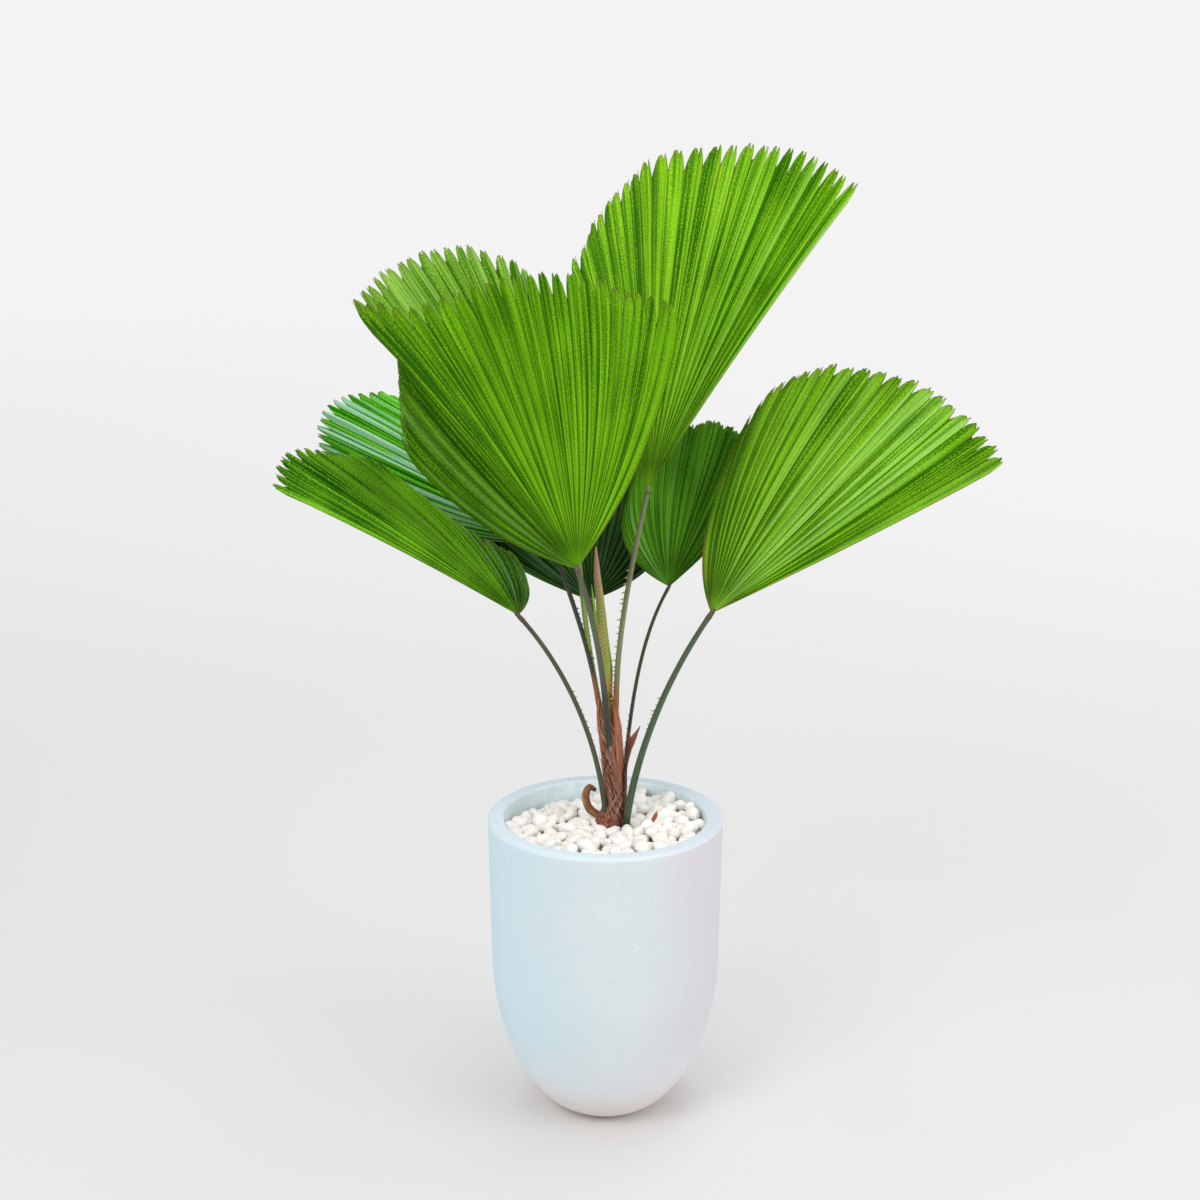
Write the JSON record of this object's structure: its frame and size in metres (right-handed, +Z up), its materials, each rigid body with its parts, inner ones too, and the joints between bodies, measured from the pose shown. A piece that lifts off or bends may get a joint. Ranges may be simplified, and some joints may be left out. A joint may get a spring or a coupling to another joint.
{
  "type": "potted ruffled fan palm",
  "caption": "Whole potted fan palm: pleated fan leaves on thorny petioles round a short fibrous trunk, in a tall round-bottomed pot topped with white pebbles.",
  "frame": {"origin": "centre of the pot's flat underside, where it stands on the floor", "axes": "+Z up from the floor along the plant's height; the picture looks along +Y, with +X to its right"},
  "size_m": [1.0934, 0.7921, 1.6242],
  "materials": {
    "pot": "matte",
    "pebbles": "matte",
    "trunk": "matte",
    "petiole": "satin",
    "blade": "satin",
    "spear": "satin",
    "sheath": "matte"
  },
  "bodies": {
    "root": {"pot": "pot", "pebble_bed": "pebbles", "trunk": "trunk", "spear_leaf": "spear", "petiole_upper_right": "petiole", "leaf_upper_right": "blade", "petiole_front": "petiole", "leaf_front": "blade", "petiole_upper_left": "petiole", "leaf_upper_left": "blade", "petiole_right": "petiole", "leaf_right": "blade", "petiole_back_right": "petiole", "leaf_back_right": "blade", "petiole_lower_left": "petiole", "leaf_lower_left": "blade", "petiole_left": "petiole", "leaf_left": "blade", "petiole_back": "petiole", "leaf_back": "blade", "dry_sheath": "sheath", "curled_sheath": "sheath"}
  },
  "joints": []
}
